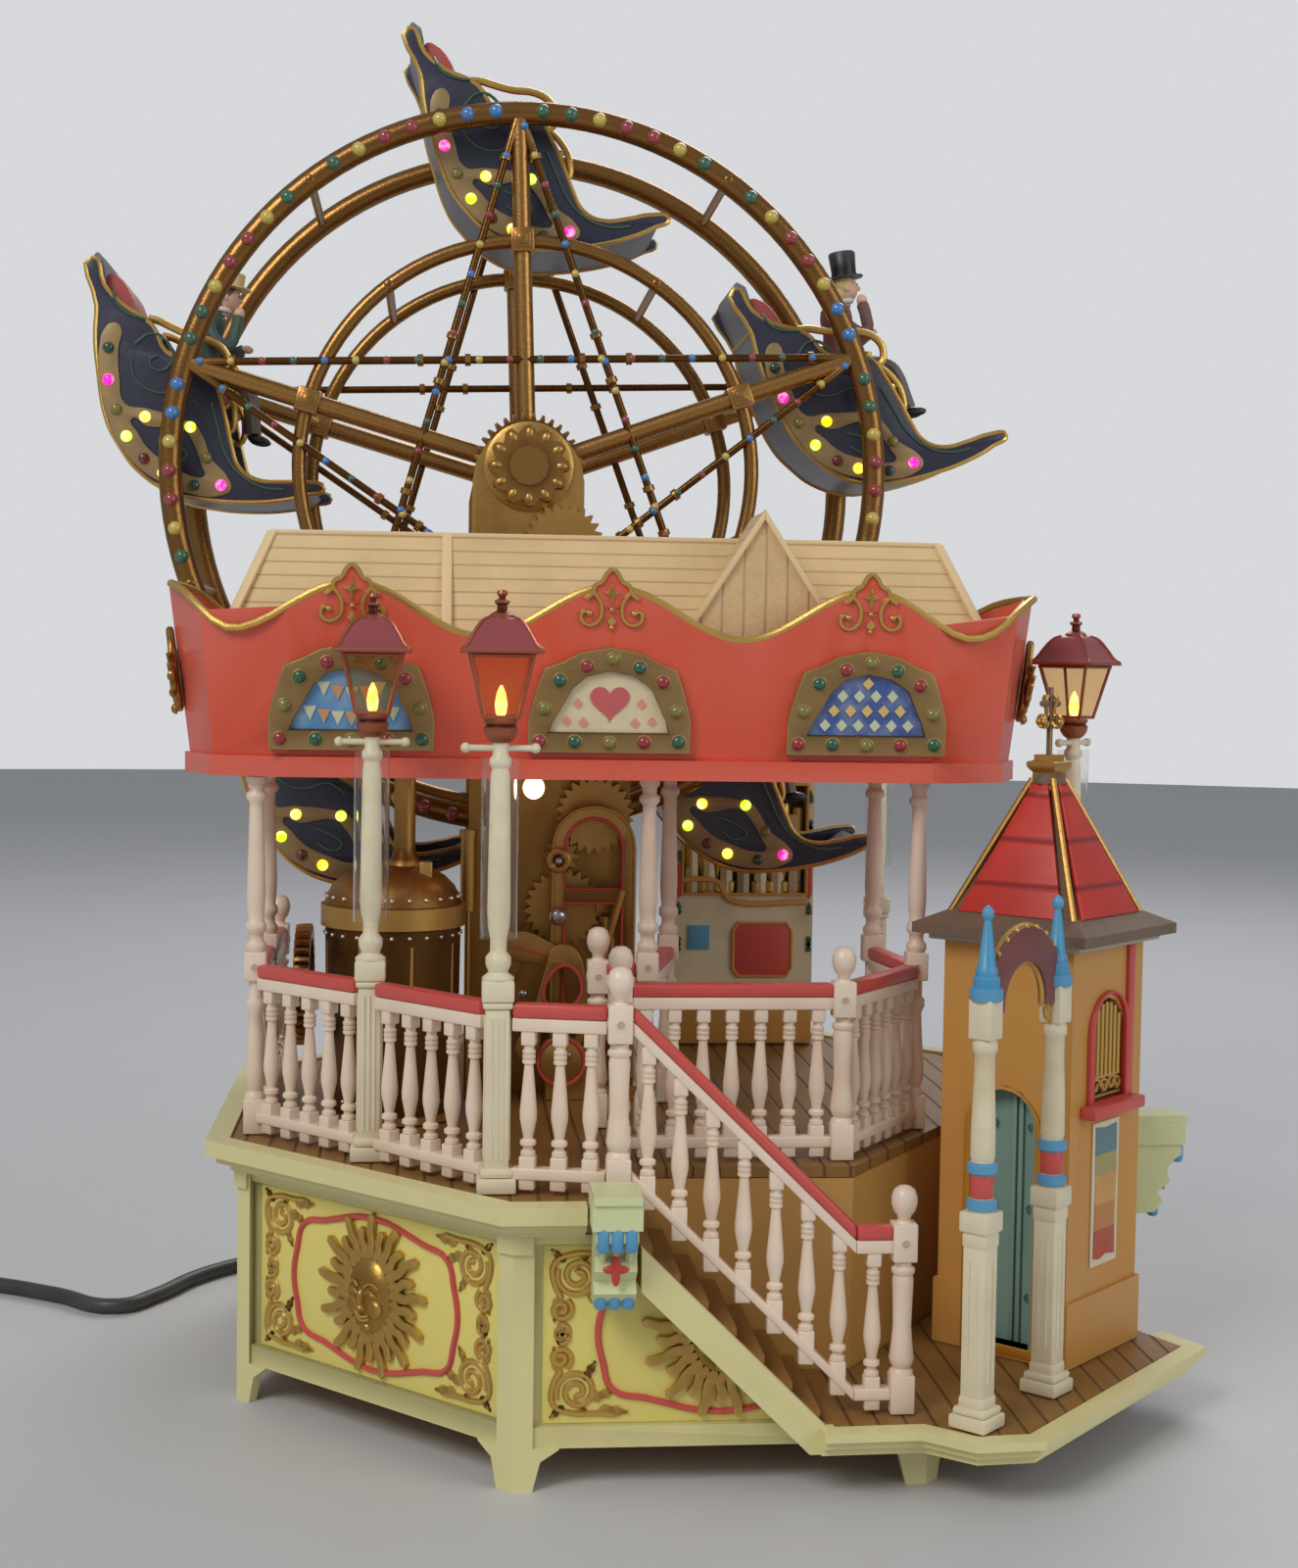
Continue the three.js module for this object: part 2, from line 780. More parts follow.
// A turned column that carries the canopy, with a square block at the rail
function column(place) {
  const block_top = column_block_bottom + column_block_height;
  const foot = deck_top + clearance;
  return [
    post(place, foot, foot + newel_foot_height, column_block_width),
    turned(
      scaled(column_shares, column_radius, column_block_bottom - foot - newel_foot_height),
      turned_sides,
      place,
      foot + newel_foot_height,
    ),
    post(place, column_block_bottom, block_top, column_block_width),
    turned(
      scaled(column_shares, column_radius, canopy_bottom - clearance - block_top),
      turned_sides,
      place,
      block_top,
    ),
  ];
}

// One run of rail with its balusters, whose foot may slope
function railRun(from, to, count, drops = [0, 0]) {
  const lower = (height) => drops.map((drop) => height - drop);
  const cream_bottom = handrail_top - handrail_height - cream_rail_height;
  const pieces = [
    bar(from, to, handrail_width, lower(handrail_top - handrail_height), handrail_height),
    bar(from, to, cream_rail_width, lower(cream_bottom), cream_rail_height),
  ];
  if (count > 0) {
    pieces.push(bar(from, to, base_rail_width, lower(base_rail_bottom), base_rail_height));
    const bottom = base_rail_bottom + base_rail_height / 2;
    const profile = scaled(baluster_shares, baluster_radius, cream_bottom - bottom + cream_rail_height / 2);
    for (let index = 0; index < count; index++) {
      const share = (index + 1 / 2) / count;
      const drop = drops[0] + (drops[1] - drops[0]) * share;
      pieces.push(turned(profile, baluster_sides, between(from, to, share), bottom - drop));
    }
  }
  return pieces;
}

// Where the posts and lamps stand on the deck, as shares of the half width
const place_shares = {
  column_left_front: [-0.908, -0.322],
  column_left_back: [-0.908, -0.007],
  column_middle_front: [-0.091, -0.322],
  column_middle_back: [-0.014, -0.007],
  column_right_front: [0.49, -0.308],
  column_right_back: [0.455, -0.007],
  newel_front: [-0.196, -0.9],
  newel_landing: [0.339, -0.923],
  newel_upper_right: [0.278, -0.601],
  newel_upper_left: [-0.171, -0.601],
  newel_inner: [-0.192, -0.28],
  newel_left: [-0.908, 0.35],
  newel_right: [0.9, -0.26],
  lamp_1: [-0.664, -0.573],
  lamp_2: [-0.42, -0.846],
  lamp_3: [0.895, -0.07],
  lamp_4: [0.603, 0.667],
};
const places = Object.fromEntries(
  Object.entries(place_shares).map(([name, share]) => [name, planPoint(share)]),
);

const lamp_turns = { lamp_3: Math.PI / 4 };

// Cuts a rail back where a lamp's shaft stands in its line
function clearOfLamps(rail, ...names) {
  const turn = (name) => lamp_turns[name] ?? 0;
  const width = lamp_block_width + 2 * clearance;
  const foot_width = lamp_foot_width + 2 * clearance;
  return cut(
    rail,
    names.map((name) =>
      post(places[name], 0, handrail_top + lamp_block_height, width, width, turn(name)),
    ),
    names.map((name) =>
      post(places[name], 0, deck_top + lamp_foot_height + clearance, foot_width, foot_width, turn(name)),
    ),
  );
}

// The stair rail follows the slope, then runs level over the landing to its newel
function stairRail() {
  const fall = deck_top - landing_level;
  const [start, end] = [places.newel_front, places.newel_landing];
  const level_start = [end[0] - 2 * newel_width, end[1]];
  const run = [start[0] + newel_width / 2 + clearance, start[1]];
  return join(
    railRun(run, level_start, 7, [0, fall]),
    railRun(level_start, end, 1, [fall, fall]),
    newel(end, landing_level),
  );
}

const inset = (from, to, distance) => {
  const length = Math.hypot(to[0] - from[0], to[1] - from[1]);
  return between(from, to, distance / length);
};

function railPieces() {
  const at = places;
  const rails = {
    rail_left_front_1: clearOfLamps(
      join(column(at.column_left_front), railRun(at.column_left_front, at.lamp_1, 5)),
      "lamp_1",
    ),
    rail_left_front_2: clearOfLamps(join(railRun(at.lamp_1, at.lamp_2, 5)), "lamp_1", "lamp_2"),
    rail_front: clearOfLamps(join(newel(at.newel_front), railRun(at.newel_front, at.lamp_2, 3)), "lamp_2"),
    rail_stair: stairRail(),
    rail_upper: join(
      newel(at.newel_upper_left),
      railRun(at.newel_upper_left, at.newel_upper_right, 7),
      newel(at.newel_upper_right),
      railRun(at.newel_upper_right, at.column_right_front, 6),
      column(at.column_right_front),
      railRun(at.column_right_front, at.column_right_back, 4),
      column(at.column_right_back),
    ),
    rail_inner: join(
      newel(at.newel_inner),
      railRun(at.newel_inner, at.column_middle_front, 0),
      column(at.column_middle_front),
      railRun(at.column_middle_front, at.column_middle_back, 0),
      column(at.column_middle_back),
    ),
    rail_left_side: join(
      railRun(inset(at.column_left_front, at.column_left_back, column_block_width), at.column_left_back, 3),
      column(at.column_left_back),
      railRun(at.column_left_back, at.newel_left, 4),
      newel(at.newel_left),
    ),
    rail_right_side: clearOfLamps(
      join(newel(at.newel_right), railRun(at.newel_right, at.lamp_3, 2)),
      "lamp_3",
    ),
  };
  Object.entries(rails).forEach(([name, rail]) => addPart(name, rail, "rail"));
}

// A street lamp's post, from its square foot to the copper socket under the lantern
function lampPost() {
  const foot = deck_top + clearance;
  const block_top = lamp_block_bottom + lamp_block_height;
  const socket = lamp_neck_top - lantern_base_width / 2;
  const here = [0, 0];
  return join(
    post(here, foot, foot + lamp_foot_height, lamp_foot_width),
    post(here, foot, lamp_block_bottom, lamp_shaft_width),
    post(here, lamp_block_bottom, block_top, lamp_block_width),
    turned(scaled(sleeve_shares, sleeve_radius, socket - block_top), turned_sides, here, block_top),
    turned(
      scaled(socket_shares, lantern_base_width / 2, lamp_neck_top - clearance - socket),
      turned_sides,
      here,
      socket,
    ),
    rod(
      [-lamp_crossbar_length / 2, 0, lamp_crossbar_height],
      [lamp_crossbar_length / 2, 0, lamp_crossbar_height],
      lamp_crossbar_radius,
      6,
    ),
  );
}

// The lantern: flared panes, overhanging eaves, a hipped roof and a turned finial
function lantern() {
  const eaves = lamp_neck_top + lantern_glass_height;
  const roof_top = eaves + lantern_roof_height + lantern_eaves_width / 12;
  const half = lantern_eaves_width / 2;
  return join(
    squareTurned(
      [
        [lantern_base_width / 2, 0],
        [lantern_glass_width / 2, lantern_glass_height],
        [half, lantern_glass_height],
        [half, lantern_glass_height + half / 6],
        [half * 0.8, lantern_glass_height + half / 4],
        [half * 0.32, roof_top - lamp_neck_top - half / 6],
        [half * 0.4, roof_top - lamp_neck_top],
      ],
      [0, 0],
      lamp_neck_top,
    ),
    turned(scaled(ball_shares, half / 3, lantern_finial_height), turned_sides, [0, 0], roof_top - clearance),
  );
}

function lamps() {
  ["lamp_1", "lamp_2", "lamp_3", "lamp_4"].forEach((name, index) => {
    const holder = placedGroup(...places[name], 0);
    holder.rotation.z = lamp_turns[name] ?? 0;
    addPart("lamp_post_" + (index + 1), lampPost(), "lamp", holder);
    addPart("lantern_" + (index + 1), lantern(), "glass", holder);
  });
}

// Canopy: a fascia with rounded ends that flares to a wavy top, over a hipped roof with a gable
const canopy_centre = planPoint([-0.171, -0.168]);
const crest_places_share = [-0.53, -0.444, -0.303, -0.158, -0.008, 0.146, 0.293, 0.423, 0.53];
const crest_heights_share = [1, 0.76, 1, 0.735, 1, 0.735, 1, 0.76, 1];
const front_samples = 18;
const back_samples = 5;
const end_samples = 4;

// Points round a shape with straight sides and half-round ends, each with its outward direction
function stadium(length, depth, front_count, back_count, end_count) {
  const radius = depth / 2;
  const straight = length - depth;
  const along = (count, direction) =>
    Array.from({ length: count + 1 }, (_, i) => ({
      at: [(direction * straight * (i / count - 1 / 2)), -direction * radius],
      out: [0, -direction],
    }));
  const turnEnd = (side) =>
    Array.from({ length: end_count - 1 }, (_, i) => {
      const angle = (Math.PI * (i + 1)) / end_count - Math.PI / 2;
      const out = [side * Math.cos(angle), side * Math.sin(angle)];
      return { at: [(side * straight) / 2 + radius * out[0], radius * out[1]], out };
    });
  return [...along(front_count, 1), ...turnEnd(1), ...along(back_count, -1), ...turnEnd(-1)];
}

// The height of the wavy top above the canopy's bottom, by its place along the length
function crestHeight(x) {
  const share = x / canopy_length;
  const next = Math.max(1, crest_places_share.findIndex((place) => place >= share));
  const [from, to] = [crest_places_share[next - 1], crest_places_share[next]];
  const blend = (1 - Math.cos((Math.PI * (share - from)) / (to - from))) / 2;
  const height = crest_heights_share[next - 1] * (1 - blend) + crest_heights_share[next] * blend;
  return canopy_crest_height * height;
}

function canopyFascia() {
  const slope = canopy_flare / (canopy_crest_height - canopy_band_height);
  const around = stadium(canopy_length, canopy_depth, front_samples, back_samples, end_samples);
  const sections = around.map(({ at, out }) => {
    const height = crestHeight(at[0] + canopy_flare * out[0]);
    const lean = slope * (1 - Math.max(0, out[1]) * (1 - canopy_back_flare / canopy_flare));
    const flare = lean * (height - canopy_band_height);
    const band_step = canopy_wall / 2;
    const section = [
      [band_step * Math.min(1, 1 - out[1]), 0],
      [band_step * Math.min(1, 1 - out[1]), canopy_band_height],
      [0, canopy_band_height],
      [flare, height],
      [flare - canopy_wall, height],
      [-canopy_wall, 0],
    ];
    return section.map(([away, up]) => [
      canopy_centre[0] + at[0] + away * out[0],
      canopy_centre[1] + at[1] + away * out[1],
      canopy_bottom + up,
    ]);
  });
  const ceiling = stadium(canopy_length - canopy_wall, canopy_depth - canopy_wall, 1, 1, end_samples)
    .map(({ at }) => [canopy_centre[0] + at[0], canopy_centre[1] + at[1]]);
  const frames = [2, 4, 6].map((index) => pictureFrame(crest_places_share[index] * canopy_length, slope));
  return join(band(sections), prism(ceiling, canopy_bottom, canopy_bottom + canopy_wall), frames);
}

const picture_outline_shares = [
  [-0.5, 0],
  [0.5, 0],
  [0.5, 0.3],
  [0.44, 0.62],
  [0.27, 0.9],
  [0, 1],
  [-0.27, 0.9],
  [-0.44, 0.62],
  [-0.5, 0.3],
];

// A raised arched frame that lies on the sloping front of the fascia
function pictureFrame(x, slope) {
  const outer = scaled(picture_outline_shares, picture_width, picture_height);
  const narrow = picture_width - 2 * picture_border;
  const low = picture_height - 2 * picture_border;
  const inner = scaled(picture_outline_shares, narrow, low).map(([u, v]) => [u, v + picture_border]);
  const rise = picture_bottom - canopy_bottom - canopy_band_height;
  return plate(outer, -picture_relief, canopy_wall / 2, [inner.reverse()])
    .rotateX(Math.atan(slope))
    .translate(
      canopy_centre[0] + x,
      canopy_centre[1] - canopy_depth / 2 - slope * rise,
      picture_bottom,
    );
}

function canopyRoof() {
  const [cx, cy] = canopy_centre;
  const room = 2 * (canopy_wall + clearance + nose_projection);
  const base = canopy_bottom + canopy_wall + clearance;
  const eaves = canopy_bottom + canopy_eaves_height;
  const hull = stadium(canopy_length - room, canopy_depth - room, 1, 1, end_samples)
    .map(({ at }) => [cx + at[0], cy + at[1]]);
  const corner_room = room + canopy_wall;
  const half_depth = canopy_depth / 2 - corner_room;
  const half_length = canopy_length / 2 - corner_room;
  const rectangle = (half_x, half_y, height) => [
    [cx - half_x, cy - half_y, height],
    [cx + half_x, cy - half_y, height],
    [cx + half_x, cy + half_y, height],
    [cx - half_x, cy + half_y, height],
  ];
  const ridge_half = canopy_wall / 2;
  const ridge_x = canopy_ridge_length / 2;
  const gable_x = planPoint([0.139, 0])[0];
  const gable_foot = eaves - clearance;
  const gable = [
    [gable_x - dormer_width / 2, gable_foot],
    [gable_x + dormer_width / 2, gable_foot],
    [gable_x + dormer_width / 2, dormer_base_height],
    [gable_x, dormer_apex_height],
    [gable_x - dormer_width / 2, dormer_base_height],
  ];
  return join(
    prism(hull, base, eaves),
    loft([rectangle(half_length, half_depth, eaves - clearance), rectangle(ridge_x, ridge_half, canopy_ridge_height)]),
    plate(gable, cy - dormer_reach + clearance, cy),
  );
}

// The wheel stands on its own axis, which runs from front to back
const wheel_x = planPoint([-0.336, 0])[0];
const wheel_axis = [wheel_x, wheel_axis_height];
const starAngle = (index) => ((star_first_angle_deg + (index * 360) / star_count) * Math.PI) / 180;
const onWheel = (radius, angle, y) => [
  wheel_axis[0] + radius * Math.cos(angle),
  y,
  wheel_axis[1] + radius * Math.sin(angle),
];
const disc = (centre, radius, front, back, sides) =>
  rod([centre[0], front, centre[1]], [centre[0], back, centre[1]], radius, sides);

function hoop(radius, tube, y, sides, steps) {
  return new THREE.TorusGeometry(radius, tube, sides, steps)
    .rotateX(Math.PI / 2)
    .translate(wheel_axis[0], y, wheel_axis[1]);
}

function flatRing(radius, half, y, steps) {
  const circle = (reach) =>
    Array.from({ length: steps }, (_, step) => {
      const angle = (step * 2 * Math.PI) / steps;
      return [reach * Math.cos(angle), reach * Math.sin(angle)];
    });
  return plate(circle(radius + half), y - half, y + half, [circle(radius - half).reverse()])
    .translate(wheel_axis[0], 0, wheel_axis[1]);
}

// One bar of the star, from one star point of the rim to the next but one
function starBar(from_angle, to_angle, y) {
  const [from, to] = [onWheel(wheel_radius, from_angle, y), onWheel(wheel_radius, to_angle, y)];
  const [dx, dz] = [to[0] - from[0], to[2] - from[2]];
  return new THREE.BoxGeometry(Math.hypot(dx, dz), 2 * star_bar_radius, 2 * star_bar_radius)
    .rotateY(-Math.atan2(dz, dx))
    .translate((from[0] + to[0]) / 2, y, (from[2] + to[2]) / 2);
}

function wheelFrame(y) {
  const spokes = [];
  for (let index = 0; index < star_count; index++) {
    const angle = starAngle(index);
    const across = starAngle(index + 2);
    const spoke = new THREE.BoxGeometry(wheel_radius - hub_radius / 2, spoke_thickness, spoke_width)
      .translate(wheel_radius / 2 + hub_radius / 4, 0, 0)
      .rotateY(-angle)
      .translate(wheel_axis[0], y, wheel_axis[1]);
    const boss = new THREE.BoxGeometry(boss_width, boss_width, boss_width)
      .translate(inner_ring_radius, 0, 0)
      .rotateY(-angle)
      .translate(wheel_axis[0], y, wheel_axis[1]);
    const side = y - (spoke_thickness / 2) * (y < wheel_back ? 1 : -1);
    spokes.push(spoke, boss, starBar(angle, across, side));
  }
  return [
    hoop(wheel_radius, rim_tube_radius, y, rim_sides, rim_steps),
    flatRing(inner_ring_radius, inner_ring_tube_radius, y, inner_ring_steps),
    disc(wheel_axis, hub_radius, y - hub_thickness / 2, y + hub_thickness / 2, hub_sides),
    spokes,
  ];
}

const rim_sides = 5;
const rim_steps = 30;
const inner_ring_steps = 20;
const hub_sides = 12;
const axle_sides = 12;

const axleHole = (front, back) => disc(wheel_axis, axle_radius + clearance, front, back, axle_sides);

// Teeth with straight flanks, narrow enough to leave backlash
const tooth_tip_share = 0.8;
const tooth_root_share = 1.3;
const tooth_half_width_share = 0.24;
const tooth_tip_half_share = 0.075;

function gearOutline(teeth) {
  const pitch_radius = (teeth * gear_module) / 2;
  const tip = pitch_radius + tooth_tip_share * gear_module;
  const root = pitch_radius - tooth_root_share * gear_module;
  const pitch_angle = (2 * Math.PI) / teeth;
  const points = [];
  for (let tooth = 0; tooth < teeth; tooth++) {
    const middle = tooth * pitch_angle;
    const tip_half = tooth_tip_half_share * pitch_angle;
    points.push([tip, middle - tip_half], [tip, middle + tip_half], [root, middle + pitch_angle / 2]);
  }
  return points.map(([radius, angle]) => [radius * Math.cos(angle), radius * Math.sin(angle)]);
}

const gearBody = (teeth, front, back) => plate(gearOutline(teeth), front, back);

// The angle of a follower's first tooth, so that its gap meets the leader's tooth
const meshPhase = (phase, leader, follower, direction) =>
  direction + Math.PI + ((direction - phase) * leader + Math.PI) / follower;

// The gear train from the wheel's ring gear down to the crank gear
function gearTrain() {
  const step = ([x, z], teeth_a, teeth_b, direction) => {
    const distance = ((teeth_a + teeth_b) * gear_module) / 2 + gear_backlash;
    return [x + distance * Math.cos(direction), z + distance * Math.sin(direction)];
  };
  const [to_idler, to_middle, to_big, to_pinion, to_crank] =
    train_directions_deg.map((degrees) => (degrees * Math.PI) / 180);
  const idler = step(wheel_axis, ring_gear_teeth, idler_pinion_teeth, to_idler);
  const middle = step(idler, idler_teeth, intermediate_teeth, to_middle);
  const big = step(middle, intermediate_teeth, big_teeth, to_big);
  const pinion = step(big, big_teeth, pinion_teeth, to_pinion);
  const crank = step(pinion, pinion_teeth, crank_teeth, to_crank);
  const idler_phase = meshPhase(0, ring_gear_teeth, idler_pinion_teeth, to_idler);
  const middle_phase = meshPhase(idler_phase, idler_teeth, intermediate_teeth, to_middle);
  const big_phase = meshPhase(middle_phase, intermediate_teeth, big_teeth, to_big);
  const pinion_phase = meshPhase(big_phase, big_teeth, pinion_teeth, to_pinion);
  const crank_phase = meshPhase(pinion_phase, pinion_teeth, crank_teeth, to_crank);
  return {
    idler: { centre: idler, phase: idler_phase },
    middle: { centre: middle, phase: middle_phase },
    big: { centre: big, phase: big_phase },
    pinion: { centre: pinion, phase: pinion_phase },
    crank: { centre: crank, phase: crank_phase },
  };
}

const train_directions_deg = [-64.8, -82.8, -82.8, -128.8, -87.3];
const train = gearTrain();
const gear_back = gear_front + gear_thickness;

function frontWheel() {
  const ring = gearBody(ring_gear_teeth, ring_gear_front, ring_gear_front + gear_thickness)
    .translate(wheel_axis[0], 0, wheel_axis[1]);
  const neck = disc(wheel_axis, hub_radius, ring_gear_front, wheel_front, hub_sides);
  return cut(join(wheelFrame(wheel_front), ring, neck), axleHole(0, wheel_front + hub_radius));
}

function backWheel() {
  const rods = [];
  const reach_front = wheel_front + clearance;
  for (let index = 0; index < star_count; index++) {
    const angle = starAngle(index + 1 / 2);
    const rod_end = (radius, tube) =>
      rod(onWheel(radius, angle, reach_front + tube), onWheel(radius, angle, wheel_back), tie_rod_radius, 4);
    rods.push(rod_end(wheel_radius, rim_tube_radius), rod_end(inner_ring_radius, inner_ring_tube_radius));
  }
  return cut(join(wheelFrame(wheel_back), rods), axleHole(wheel_back - hub_radius, wheel_back + hub_radius));
}

// The axle runs through both towers and carries the rosette at its front end
function wheelAxle() {
  const petals = 12;
  const rosette_back = tower_plate_front - clearance;
  const front = rosette_back - rosette_thickness;
  const outline = [];
  for (let petal = 0; petal < petals; petal++) {
    const angle = (petal * 2 * Math.PI) / petals;
    const half = Math.PI / petals;
    outline.push([rosette_radius * Math.cos(angle), rosette_radius * Math.sin(angle)]);
    outline.push([rosette_radius * Math.cos(angle + half / 2), rosette_radius * Math.sin(angle + half / 2)]);
    const dip = rosette_radius * 0.84;
    outline.push([dip * Math.cos(angle + half * 1.25), dip * Math.sin(angle + half * 1.25)]);
  }
  return join(
    disc(wheel_axis, axle_radius, front, rear_tower_front + rear_tower_thickness + overrun, axle_sides),
    plate(outline, front, rosette_back).translate(wheel_axis[0], 0, wheel_axis[1]),
    disc(wheel_axis, rosette_radius / 2, front - nose_projection, front, axle_sides),
  );
}

function idlerGear() {
  const shaft_radius = gear_pin_radius * 2.4;
  return join(
    gearBody(idler_teeth, gear_front, gear_back),
    disc([0, 0], shaft_radius, gear_front, ring_gear_front + gear_thickness, axle_sides),
    gearBody(idler_pinion_teeth, ring_gear_front, ring_gear_front + gear_thickness),
  );
}

function plainGear(teeth) {
  return cut(
    gearBody(teeth, gear_front, gear_back),
    disc([0, 0], gear_pin_radius + clearance, 0, 2 * gear_back, axle_sides),
  );
}

function gears() {
  const named = {
    idler_gear: [train.idler, idlerGear()],
    intermediate_gear: [train.middle, plainGear(intermediate_teeth)],
    big_gear: [train.big, plainGear(big_teeth)],
    pinion: [train.pinion, plainGear(pinion_teeth)],
    crank_gear: [train.crank, plainGear(crank_teeth)],
  };
  Object.entries(named).forEach(([name, [{ centre, phase }, piece]]) => {
    const holder = placedGroup(centre[0], 0, centre[1]);
    holder.rotation.y = -phase;
    addPart(name, piece, "brass", holder);
  });
}

// The tower plates carry the axle and the gear pins, and are wider where the canopy hides them
function towerOutline(wide_right) {
  const half = tower_width / 2;
  const centre = wheel_axis[0];
  const shoulder = canopy_bottom + canopy_crest_height - half;
  const round_centre = tower_top - half;
  const arc = [0, 1, 2, 3, 4, 5, 6, 7, 8].map((index) => {
    const angle = (index * Math.PI) / 8;
    return [centre + half * Math.cos(angle), round_centre + half * Math.sin(angle)];
  });
  const foot = deck_top + clearance;
  return [
    [centre - half, foot],
    [wide_right, foot],
    [wide_right, shoulder - half],
    [centre + half, shoulder],
    ...arc,
  ];
}

function frontTower() {
  const back = tower_plate_front + tower_plate_thickness;
  const wide_right = train.big.centre[0] + (big_teeth * gear_module) / 2;
  const pins = [train.middle, train.big, train.pinion, train.crank].map(({ centre }) => [
    disc(centre, gear_pin_radius, gear_front - clearance, tower_plate_front + clearance, turned_sides),
    disc(centre, 2 * gear_pin_radius, gear_front - clearance - nose_projection, gear_front - clearance, turned_sides),
    disc(centre, 2 * gear_pin_radius, gear_back + clearance, tower_plate_front + clearance, turned_sides),
  ]);
  return cut(
    join(plate(towerOutline(wide_right), tower_plate_front, back), pins),
    axleHole(0, 2 * back),
    disc(train.idler.centre, gear_pin_radius * 2.4 + clearance, 0, 2 * back, axle_sides),
  );
}

function rearTower() {
  const back = rear_tower_front + rear_tower_thickness;
  return cut(
    plate(towerOutline(wheel_axis[0] + tower_width / 2 + overrun), rear_tower_front, back),
    axleHole(rear_tower_front - overrun, back + overrun),
  );
}

// Gondola: a sleigh hull whose outline is given by shares of its length, from the pivot
const hull_floor_shares = [
  [-0.416, 0.328],
  [-0.371, 0.154],
  [-0.356, 0.041],
  [-0.325, -0.073],
  [-0.257, -0.262],
  [-0.193, -0.345],
  [-0.116, -0.417],
  [0.02, -0.475],
  [0.13, -0.479],
  [0.281, -0.463],
  [0.432, -0.425],
  [0.527, -0.384],
];
const hull_top_shares = [
  [0.584, -0.35],
  [0.509, -0.334],
  [0.432, -0.35],
  [0.319, -0.365],
  [0.251, -0.331],
  [0.213, -0.262],
  [0.174, -0.168],
  [0.13, -0.073],
  [0.073, 0.01],
  [-0.022, 0.023],
  [-0.09, 0.041],
  [-0.155, 0.125],
  [-0.287, 0.185],
  [-0.356, 0.238],
];
const hull_floor = scaled(hull_floor_shares, gondola_length, gondola_length);
const hull_top = scaled(hull_top_shares, gondola_length, gondola_length);
const gondola_middle = (wheel_front + wheel_back) / 2 - gondola_setback;
const half_gondola = gondola_width / 2;
const half_pocket = half_gondola - gondola_side_thickness;

// Everything above the hull's floor, moved in from the floor by a distance
function aboveFloor(distance, half) {
  const moved = hull_floor.map(([x, z]) => [x + distance, z + distance * 1.2]);
  const top = gondola_length;
  const outline = [...moved, [moved.at(-1)[0], top], [moved[0][0], top]];
  return plate(outline, -half, half);
}

function gondolaHull() {
  const shell = cut(
    plate([...hull_floor, ...hull_top], -half_gondola, half_gondola),
    aboveFloor(gondola_floor_thickness, half_pocket),
  );
  const front_reach = gondola_middle - wheel_front - rim_tube_radius - clearance;
  const back_reach = wheel_back - gondola_middle - rim_tube_radius - clearance;
  const pins = [[-front_reach, -half_pocket], [half_pocket, back_reach]].map(([front, back]) =>
    disc([0, 0], gondola_pin_radius, front, back, turned_sides),
  );
  const bosses = [-1, 1].map((side) =>
    disc(
      [0, 0],
      2 * gondola_pin_radius,
      side * half_pocket,
      side * (half_gondola + nose_projection),
      turned_sides,
    ),
  );
  return join(shell, pins, bosses);
}

const rider_sides = 5;
const rider_profile_shares = [
  [0.95, 0],
  [1, 0.52],
  [0.4, 0.66],
  [0.52, 0.78],
  [0.42, 0.9],
];

// A bench with its sloping back, bare at the top of the wheel, else with a seated figure and its hat
function gondolaSeat(index) {
  const half = seat_width / 2;
  const floor_gap = gondola_floor_thickness + 2 * clearance;
  const bench_top = -gondola_length * 0.12;
  const back_x = -gondola_length * 0.17;
  const low = -gondola_length / 2;
  const seat = [
    [-gondola_length * 0.4, gondola_length * 0.25],
    [-gondola_length * 0.33, gondola_length * 0.24],
    [back_x, bench_top],
    [gondola_length * 0.05, bench_top],
    [gondola_length * 0.03, low],
    [-gondola_length * 0.4, low],
  ];
  const space = aboveFloor(floor_gap, half_pocket - clearance);
  const bench = plate(seat, -half, half);
  if (index === 0) return keep(bench, space);
  const pieces = [bench];
  const middle = back_x + rider_height / 3;
  const shoulder = rider_height / 3.4;
  const head_top = bench_top + rider_height * 1.36;
  const hat = index % 2 === 0 ? [1.15, 0.7, 0.2] : [0.95, 0.62, 0.36];
  pieces.push(
    turned(
      scaled(rider_profile_shares, shoulder, rider_height * 1.42),
      rider_sides,
      [middle, 0],
      bench_top - clearance,
    ),
    turned(
      [
        [shoulder * hat[0] * 0.8, 0],
        [shoulder * hat[1] * 0.7, rider_height * 0.05],
        [shoulder * hat[1] * 0.74, rider_height * hat[2]],
      ],
      rider_sides,
      [middle, 0],
      head_top - rider_height * 0.1,
    ),
  );
  [-1, 1].forEach((side) => {
    const hip = [middle, (side * shoulder) / 2, bench_top + shoulder / 2];
    const knee = [middle + rider_height * 0.55, (side * shoulder) / 2, bench_top + shoulder / 2];
    const foot = [knee[0] + shoulder / 2, knee[1], bench_top - rider_height * 0.55];
    const hand = [middle + rider_height * 0.4, side * shoulder * 0.9, bench_top + rider_height * 0.45];
    const elbow = [middle, side * shoulder * 0.8, bench_top + rider_height * 0.55];
    pieces.push(rod(hip, knee, shoulder * 0.36, 4), rod(knee, foot, shoulder * 0.3, 4));
    pieces.push(rod(elbow, hand, shoulder * 0.24, 4));
  });
  return keep(join(pieces), space);
}

function gondolas() {
  for (let index = 0; index < star_count; index++) {
    const [x, , z] = onWheel(wheel_radius, starAngle(index), gondola_middle);
    const holder = placedGroup(x, gondola_middle, z);
    holder.rotation.y = (-gondola_tilts_deg[index] * Math.PI) / 180;
    addPart("gondola_hull_" + (index + 1), gondolaHull(), "navy", holder);
    addPart("gondola_seat_" + (index + 1), gondolaSeat(index), "seat", holder);
  }
}

